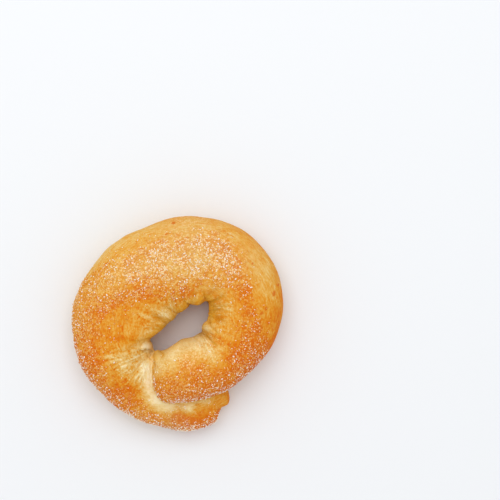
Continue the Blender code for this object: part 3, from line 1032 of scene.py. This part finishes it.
# %% Wires and trees
class Wire:
    """The end of a node's output socket, for use in sums."""

    def __init__(self, tree, socket):
        self.tree = tree
        self.socket = socket

    def other(self, name):
        """Another output of the same node."""
        return Wire(self.tree, self.socket.node.outputs[name])

    def math(self, operation, *values):
        vector = any(isinstance(value, Wire) and value.socket.type == "VECTOR" for value in values)
        kind = "ShaderNodeVectorMath" if vector else "ShaderNodeMath"
        return self.tree.node(kind, {"operation": operation}, dict(enumerate(values)))

    def __add__(self, other):
        return self.math("ADD", self, other)

    def __sub__(self, other):
        return self.math("SUBTRACT", self, other)

    def __rsub__(self, other):
        return self.math("SUBTRACT", other, self)

    def __mul__(self, other):
        return self.math("MULTIPLY", self, other)

    def __pow__(self, other):
        return self.math("POWER", self, other)

    __radd__ = __add__
    __rmul__ = __mul__


class Tree:
    """A node tree that is written as formulas."""

    def __init__(self, node_tree):
        self.nodes = node_tree.nodes
        self.links = node_tree.links

    def plug(self, inlet, value):
        if isinstance(value, Wire):
            self.links.new(value.socket, inlet)
        elif inlet.type == "VECTOR" and isinstance(value, (int, float)):
            inlet.default_value = (value, value, value)
        elif inlet.type == "RGBA" and len(value) == 3:
            inlet.default_value = (*value, 1.0)
        else:
            inlet.default_value = value

    def node(self, kind, settings=None, sockets=None, outlet=0):
        """Adds a node, sets it, fills its sockets by name or number, and gives one of its outputs."""
        node = self.nodes.new(kind)
        for name, value in (settings or {}).items():
            if name == "stops":
                self.set_stops(node.color_ramp, value)
            else:
                setattr(node, name, value)
        inlets = [socket for socket in node.inputs if socket.enabled]
        for key, value in (sockets or {}).items():
            inlet = inlets[key] if isinstance(key, int) else next(s for s in inlets if s.name == key)
            self.plug(inlet, value)
        outlets = [socket for socket in node.outputs if socket.enabled]
        if isinstance(outlet, str):
            return Wire(self, next(s for s in outlets if s.name == outlet))
        return Wire(self, outlets[outlet]) if outlets else None

    def set_stops(self, ramp, stops):
        while len(ramp.elements) < len(stops):
            ramp.elements.new(0.5)
        for element, (position, colour) in zip(ramp.elements, stops):
            element.position = position
            element.color = (*colour, 1.0)

    def noise(self, place, size, detail=2.0, roughness=0.55):
        """Noise from 0 to 1 whose lumps have about that size."""
        sockets = {"Vector": place, "Scale": 1 / size, "Detail": detail, "Roughness": roughness}
        return self.node("ShaderNodeTexNoise", {"noise_dimensions": "3D"}, sockets)

    def read(self, name, outlet="Fac"):
        """What the mesh keeps of each point under that name."""
        return self.node("ShaderNodeAttribute", {"attribute_name": name}, outlet=outlet)

    def ease(self, value, low, high):
        """Smoothly from 0 at low to 1 at high."""
        ranges = {"Value": value, "From Min": low, "From Max": high, "To Min": 0.0, "To Max": 1.0}
        return self.node("ShaderNodeMapRange", {"interpolation_type": "SMOOTHSTEP"}, ranges)

    def mix(self, share, first, second):
        """A colour between two others."""
        settings = {"data_type": "RGBA", "clamp_factor": True}
        return self.node("ShaderNodeMix", settings, {"Factor": share, "A": first, "B": second})


print("wires can be added, subtracted, multiplied and raised to a power")

# %% [markdown]
# ## Colours as they are seen
#
# A colour is picked by how it looks in the picture, as red, green and blue from 0 to 255. The
# picture shows the material's colour times the light that falls on it, plus a little white from its
# gloss. Both are taken out again here, so that the finishes below can be written in the colours
# that the eye sees.

# %% Undo the light
LIGHT_LEVEL = 0.96
GLOSS = 0.002
DARKEST = 0.004


def seen(red, green, blue):
    """The material colour that looks like this 8-bit colour in this light."""
    linear = [((value / 255 + 0.055) / 1.055) ** 2.4 for value in (red, green, blue)]
    return tuple(max(value / LIGHT_LEVEL - GLOSS, DARKEST) for value in linear)


print("a pale gold of 231, 180, 104 is mixed as", [round(value, 3) for value in seen(231, 180, 104)])

# %% [markdown]
# ## The crust's material
#
# The colour of a crust depends on one thing, how far it was baked, so the bake number chooses it on
# a ramp from cream to russet. Marks move the number a little: broad mottling, dashes and streaks
# that run with the rope on bare skin, folds in the fans, paler on their ridges where the skin is
# stretched and darker in their valleys as painted shade, and fine specks where sugar lay and
# caramelised. Between the crystals that can be seen there is always finer sugar, half melted in,
# which gives a honey and peach bloom. The lip goes ochre, partly as painted warm light, the creases
# take an olive painted shade, pale skin that turns from the light takes a dusky painted shade, the
# blisters go red-brown, and the underside takes the blotched brown of a baking sheet.

# %% Colours from cream to russet
CRUST_STOPS = (
    (0.00, seen(249, 236, 198)),
    (0.22, seen(238, 214, 156)),
    (0.42, seen(226, 188, 116)),
    (0.60, seen(221, 165, 74)),
    (0.78, seen(217, 141, 38)),
    (1.00, seen(211, 107, 10)),
)
HONEY = seen(241, 191, 114)
PEACH = seen(243, 207, 150)
# An olive painted shade for the creases, the seam and the pits.
OLIVE_SHADE = seen(206, 146, 32)
# Ochre for the lip and the sheltered corners, partly painted warm light in their shade.
OCHRE_GLOW = seen(244, 192, 62)
# The colour of the painted shade on pale skin that turns from the light.
SHADE_COLOUR = seen(196, 160, 100)
RUSSET = seen(206, 104, 26)
SHEET_BROWN = seen(182, 114, 52)
SHEET_PALE = seen(212, 156, 88)
SHEET_SCORCH = seen(148, 84, 34)
print(len(CRUST_STOPS), "stops from cream to russet")

# %% Folds and melted grains
FOLD_BEND = 3.0
FOLD_STEPS = 3.0  # changes along a fold, for each stretch of the fan
FOLD_RIDGE = 6.0
FOLD_VALLEY = 0.7
GRAIN = 1.0  # mm
GRAIN_WANDER = 1.6
GRAINS_CHOSEN = (0.30, 0.55)
GRAIN_EDGE = (0.62, 0.34)


def fan_folds(tree, place, number, fan):
    """Fine folds that point at a fan's pinch: below 0 in the sharp valleys, above on the ridges."""
    across = tree.node("ShaderNodeSeparateXYZ", {}, {0: place - (fan.x, fan.y, 0.0)})
    angle = across.other("Y").math("ARCTAN2", across.other("Y"), across)
    distance = (across * across + across.other("Y") * across.other("Y")) ** 0.5
    bend = (tree.noise(place, 5.0) - 0.5) * FOLD_BEND
    turns = {
        "X": angle * (fan.ridges_per_turn / math.tau) + bend,
        "Y": distance * (FOLD_STEPS / FAN_STRETCH),
        "Z": 3.1 * number,
    }
    wave = tree.noise(tree.node("ShaderNodeCombineXYZ", {}, turns), 1.0) - 0.5
    return tree.read(f"fan_{number}") * (wave.math("ABSOLUTE", wave) * FOLD_RIDGE - FOLD_VALLEY)


def melted_grains(tree, place):
    """Grains of sugar that have half melted into the crust: 1 on a grain, 0 in the gaps between them."""
    wander = {"Vector": place, "Scale": 0.9, "Detail": 1.0}
    wander = tree.node("ShaderNodeTexNoise", {}, wander, outlet="Color")
    cells = {"Vector": place + wander * GRAIN_WANDER, "Scale": 1 / GRAIN, "Randomness": 1.0}
    cells = tree.node("ShaderNodeTexVoronoi", {"voronoi_dimensions": "3D"}, cells)
    chosen = tree.node("ShaderNodeSeparateXYZ", {}, {0: cells.other("Color")})
    return tree.ease(chosen, *GRAINS_CHOSEN) * tree.ease(cells, *GRAIN_EDGE)


print("melted grains are", GRAIN, "mm apart, and there are folds in", len(FANS), "fans")

# %% Mix the crust
DRAWN_OUT = (0.35, 1.0, 1.0)  # marks on bare skin are three times as long as wide
MOTTLING = 0.26  # how far each kind of mark moves the bake number
SPECKS = 0.5
SUGARED_SPECKS = 0.6
DASHES = 0.75
STREAKS = 0.4
FLECKS = 0.2
GRAIN_GAPS = 0.3
# The folds' share of the bake number: paler on the ridges, and darker in the valleys as painted shade.
FOLD_PALENESS_AND_SHADE = 0.22
PALE_MARKS = 0.5  # share of the marks that the palest skin keeps
FROST_VEIL = 0.25  # how far each colour covers the ones below it
MELTED_SUGAR = 0.42
MELTED_FROST = 1.3
FROSTED = (0.05, 0.40)
LIP_GLOW_COVERS = 0.6
CREASE_SHADE_COVERS = 0.85
BLISTER_COVERS = 0.8
SCORCH_COVERS = 0.6
BUMP_STRENGTH = 0.7
BUMP_HEIGHT = 0.35 * MM
CRUST_FIXED = {
    "Specular IOR Level": 0.02,
    "Subsurface Weight": 0.08,
    "Subsurface Radius": (1.0, 0.6, 0.3),
    "Subsurface Scale": 1.2 * MM,
}


def sheet_colour(tree, place):
    """The underside: two browns in blotches, with scorched specks."""
    brown = tree.mix(tree.ease(tree.noise(place, 9.0, detail=4.0), 0.35, 0.65), SHEET_BROWN, SHEET_PALE)
    scorched = tree.ease(tree.noise(place, 1.4, detail=3.0), 0.52, 0.75) * SCORCH_COVERS
    return tree.mix(scorched, brown, SHEET_SCORCH)


def crust_finish():
    material, shader = plain_shader("baked_crust", seen(227, 156, 68), 0.5)
    tree = Tree(material.node_tree)
    place = tree.node("ShaderNodeTexCoord", outlet="Object") * (1 / MM)
    drawn_out = tree.read("flow", outlet="Vector") * DRAWN_OUT
    sugared, frost, level = tree.read("sugar"), tree.read("frost"), tree.read("bake")
    bare = 1 - sugared
    broad = tree.noise(place, 5.0) - 0.5
    specks = tree.noise(place, 1.1, detail=3.0, roughness=0.65) - 0.5
    streaked = tree.noise(drawn_out, 2.4, detail=3.0) - 0.5
    from_hole = place - tuple(hole_centre / MM)
    folds = sum(fan_folds(tree, from_hole, number, fan) for number, fan in enumerate(FANS))
    dashes = tree.noise(drawn_out, 0.8) - 0.5
    flecks = tree.ease(tree.noise(drawn_out, 1.4), 0.60, 0.72)
    grains = melted_grains(tree, place)
    fine = specks * (SPECKS + SUGARED_SPECKS * sugared)
    fine += (dashes * DASHES + streaked * STREAKS + flecks * FLECKS) * bare
    fine += (0.35 - grains) * sugared * GRAIN_GAPS
    fine *= PALE_MARKS + (1 - PALE_MARKS) * tree.ease(level, 0.05, 0.5)
    baked = level + broad * MOTTLING + fine - folds * FOLD_PALENESS_AND_SHADE
    colour = tree.node("ShaderNodeValToRGB", {"stops": CRUST_STOPS}, {0: baked})
    melted = tree.mix(tree.ease(frost, *FROSTED), HONEY, PEACH)
    bloom = frost * FROST_VEIL + (MELTED_SUGAR * sugared + MELTED_FROST * frost) * grains
    colour = tree.mix(bloom, colour, melted)
    colour = tree.mix(tree.read("lip") * LIP_GLOW_COVERS, colour, OCHRE_GLOW)
    colour = tree.mix(tree.read("dusk"), colour, SHADE_COLOUR)
    colour = tree.mix(tree.read("crease") * CREASE_SHADE_COVERS, colour, OLIVE_SHADE)
    blistered = tree.ease(tree.read("blister") + specks * 0.5, 0.15, 0.65) * BLISTER_COVERS
    colour = tree.mix(blistered, colour, RUSSET)
    colour = tree.mix(tree.read("underside"), colour, sheet_colour(tree, place))
    rough = 0.46 + 0.16 * tree.noise(place, 0.9) + 0.10 * sugared
    height = tree.noise(place, 0.45, detail=3.0, roughness=0.6) * (0.35 + 0.65 * sugared)
    height += streaked * 0.4
    height += folds * 0.6
    bumps = {"Strength": BUMP_STRENGTH, "Distance": BUMP_HEIGHT, "Height": height}
    bumps = tree.node("ShaderNodeBump", {}, bumps)
    for name, wire in {"Base Color": colour, "Roughness": rough, "Normal": bumps}.items():
        tree.plug(shader.inputs[name], wire)
    for name, value in CRUST_FIXED.items():
        shader.inputs[name].default_value = value
    print(len(tree.nodes), "nodes in the crust's material")
    return material


crust.data.materials.append(crust_finish())

# %% [markdown]
# ## Crystals of sugar
#
# Coarse sugar is blocks with sloping ends, about twice as long as wide. Four shapes are enough,
# because each copy is turned its own way. Two roof points are added at a block's ends and all ten
# points are pulled in at random. The hull of these is a crystal with flat faces that catch the light.

# %% Cut four crystals
CRYSTAL_SHAPES = 4
CRYSTAL_SIDES = (1.0, 0.52, 0.46)
MOST_PULLED_IN = 0.78
ROOF = 0.62
ROOF_OFF_CENTRE = 0.2
CRYSTAL_SEED = 11


def cut_crystal(chance):
    """A block about one unit long, with sloping ends and flat faces."""
    shape = bmesh.new()
    bmesh.ops.create_cube(shape, size=1)
    for end in (-ROOF, ROOF):
        off = [chance.uniform(-ROOF_OFF_CENTRE, ROOF_OFF_CENTRE) for side in range(2)]
        shape.verts.new((end, *off))
    for vert in shape.verts:
        sides = zip(vert.co, CRYSTAL_SIDES)
        vert.co = [value * side * chance.uniform(MOST_PULLED_IN, 1.0) for value, side in sides]
    hull = bmesh.ops.convex_hull(shape, input=shape.verts)
    left_over = set(hull["geom_interior"] + hull["geom_unused"])
    bmesh.ops.delete(shape, geom=[vert for vert in shape.verts if vert in left_over], context="VERTS")
    old_sides = [face for face in shape.faces if len(face.verts) > 3]
    bmesh.ops.delete(shape, geom=old_sides, context="FACES_ONLY")
    bmesh.ops.recalc_face_normals(shape, faces=shape.faces)
    data = bpy.data.meshes.new("crystal")
    shape.to_mesh(data)
    shape.free()
    return data


crystals = bpy.data.collections.new("crystals")
chance = random.Random(CRYSTAL_SEED)
for number in range(CRYSTAL_SHAPES):
    crystals.objects.link(bpy.data.objects.new(f"crystal_{number}", cut_crystal(chance)))

# %% [markdown]
# ## Dredge the ring
#
# Scattering is what Geometry Nodes are for. The tree spreads points over the skin, no two nearer
# than the spacing, and keeps each with the chance that the sugar attribute gives. A crystal is set
# on each point, lying roughly flat but tilted and spun, half sunk in the crust. The crystals are
# realized at the end, so that the piece is plain mesh. One tree makes all three kinds: the coarse
# crystals that can be told apart, the middling ones, and the finer sugar between them.

# %% Build the dredging tree
TILT = 0.7
MOSTLY_SMALL = 2.0  # the power that makes small crystals likelier than large ones
DREDGE_INPUTS = (
    ("Skin", "NodeSocketGeometry"),
    ("Crystals", "NodeSocketCollection"),
    ("Spacing", "NodeSocketFloat"),
    ("Most per area", "NodeSocketFloat"),
    ("Smallest", "NodeSocketFloat"),
    ("Largest", "NodeSocketFloat"),
    ("Rise", "NodeSocketFloat"),
    ("Seed", "NodeSocketInt"),
    ("Finish", "NodeSocketMaterial"),
)


def dredging_tree():
    group = bpy.data.node_groups.new("dredge", "GeometryNodeTree")
    for name, kind in DREDGE_INPUTS:
        group.interface.new_socket(name, in_out="INPUT", socket_type=kind)
    group.interface.new_socket("Sugar", in_out="OUTPUT", socket_type="NodeSocketGeometry")
    tree = Tree(group)
    given = tree.node("NodeGroupInput")
    seed = given.other("Seed")

    def draw(low, high, step, kind="FLOAT"):
        sockets = {"Min": low, "Max": high, "Seed": seed + step}
        return tree.node("FunctionNodeRandomValue", {"data_type": kind}, sockets)

    wanted = tree.node("GeometryNodeInputNamedAttribute", {"data_type": "FLOAT"}, {"Name": "sugar"})
    spread = {
        "Mesh": given.other("Skin"),
        "Distance Min": given.other("Spacing"),
        "Density Max": given.other("Most per area"),
        "Density Factor": wanted,
        "Seed": seed,
    }
    points = tree.node("GeometryNodeDistributePointsOnFaces", {"distribute_method": "POISSON"}, spread)
    spin = draw((-TILT, -TILT, 0.0), (TILT, TILT, math.tau), 1, "FLOAT_VECTOR")
    spin = tree.node("FunctionNodeEulerToRotation", {}, {0: spin})
    lie = {"Rotation": points.other("Rotation"), "Rotate By": spin}
    lie = tree.node("FunctionNodeRotateRotation", {"rotation_space": "LOCAL"}, lie)
    range_of_sizes = given.other("Largest") - given.other("Smallest")
    size = given.other("Smallest") + range_of_sizes * draw(0.0, 1.0, 2) ** MOSTLY_SMALL
    lift = points.other("Normal") * (size * given.other("Rise"))
    raised = tree.node("GeometryNodeSetPosition", {}, {"Geometry": points, "Offset": lift})
    shapes = {"Collection": given.other("Crystals"), "Separate Children": True, "Reset Children": True}
    shapes = tree.node("GeometryNodeCollectionInfo", {}, shapes)
    placed = {
        "Points": raised,
        "Instance": shapes,
        "Pick Instance": True,
        "Instance Index": draw(0, CRYSTAL_SHAPES - 1, 3, "INT"),
        "Rotation": lie,
        "Scale": size,
    }
    placed = tree.node("GeometryNodeInstanceOnPoints", {}, placed)
    tinted = {"Geometry": placed, "Name": "tint", "Value": draw(0.0, 1.0, 4)}
    kept = {"data_type": "FLOAT", "domain": "INSTANCE"}
    tinted = tree.node("GeometryNodeStoreNamedAttribute", kept, tinted)
    solid = tree.node("GeometryNodeRealizeInstances", {}, {"Geometry": tinted})
    finished = {"Geometry": solid, "Material": given.other("Finish")}
    finished = tree.node("GeometryNodeSetMaterial", {}, finished)
    tree.node("NodeGroupOutput", {}, {"Sugar": finished})
    return group


dredge = dredging_tree()
print(len(dredge.nodes), "nodes in the dredging tree")

# %% [markdown]
# ## The sugar's material
#
# A crystal on a crust is not white: light goes through it and comes back in the crust's colour.
# Real glass would show this, but slowly and with noise. Here each crystal takes the colour of the
# crust below it, made paler, and those that stand free stay nearly white. Which ones are creamy and
# which white is a matter of the chance that each crystal drew, its tint, and of the frost and snow
# where it lies. Low roughness gives their facets a glint.

# %% Mix the sugar
CREAM = seen(240, 206, 138)
FROSTED_CREAM = seen(236, 216, 170)
SUGAR_WHITE = seen(242, 234, 220)
LEAST_CREAM = 0.05
CREAMINESS = 0.48
FROST_CREAMINESS = 1.5
CREAMY_TINTS = (0.28, 0.66)
WHITE_TINTS = (0.80, 0.92)
FROST_WHITENS = 0.4
SNOW_WHITENS = 0.5
CRYSTAL_ROUGHNESS = 0.25
CRYSTAL_GLINT = 0.12


def sugar_finish():
    material, shader = plain_shader("clear_sugar", seen(236, 190, 140), CRYSTAL_ROUGHNESS)
    tree = Tree(material.node_tree)
    tint, frost = tree.read("tint"), tree.read("frost")
    below = tree.node("ShaderNodeValToRGB", {"stops": CRUST_STOPS}, {0: tree.read("bake")})
    creamy = LEAST_CREAM + (CREAMINESS + FROST_CREAMINESS * frost) * tree.ease(tint, *CREAMY_TINTS)
    cream = tree.mix(tree.ease(frost, *FROSTED), CREAM, FROSTED_CREAM)
    colour = tree.mix(creamy, below, cream)
    white = tree.ease(tint + frost * FROST_WHITENS + tree.read("snow") * SNOW_WHITENS, *WHITE_TINTS)
    colour = tree.mix(white, colour, SUGAR_WHITE)
    tree.plug(shader.inputs["Base Color"], colour)
    shader.inputs["Specular IOR Level"].default_value = CRYSTAL_GLINT
    return material


sugar_material = sugar_finish()
print("the sugar is", sugar_material.name)

# %% Dredge it three times
KINDS = (  # name, spacing, smallest and largest crystal in mm, rise, seed
    ("sugar_coarse", 1.1, 0.6, 1.1, 0.12, 3),
    ("sugar_middling", 0.8, 0.42, 0.8, 0.12, 8),
    ("sugar_fine", 0.75, 0.3, 0.55, 0.15, 12),
)
MOST_PER_AREA = 2.2e6


def dredged(name, spacing, smallest, largest, rise, seed):
    """One kind of sugar over the whole ring, as a plain mesh at the origin."""
    obj = new_object(name, crust.data)
    modifier = obj.modifiers.new("dredge", "NODES")
    modifier.node_group = dredge
    given = {
        "Crystals": crystals,
        "Spacing": spacing * MM,
        "Most per area": MOST_PER_AREA,
        "Smallest": smallest * MM,
        "Largest": largest * MM,
        "Rise": rise,
        "Seed": seed,
        "Finish": sugar_material,
    }
    for socket in dredge.interface.items_tree:
        if socket.in_out == "INPUT" and socket.name in given:
            modifier[socket.identifier] = given[socket.name]
    data = applied(obj, name)
    obj.modifiers.clear()
    obj.data = data
    return obj


pieces = [crust] + [dredged(*kind) for kind in KINDS]
for shape in list(crystals.objects):
    bpy.data.objects.remove(shape)
for piece in pieces:
    piece.data.calc_loop_triangles()
    print(piece.name, "has", len(piece.data.loop_triangles), "triangles")

# %% [markdown]
# ## Hand the pieces to the model
#
# The crust stands for the imported ring, and the sugar rides with it.

# %% Ride and replace
for piece in pieces:
    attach(piece, "root")
    "crust" if piece == crust else "sugar"
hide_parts("kalach")
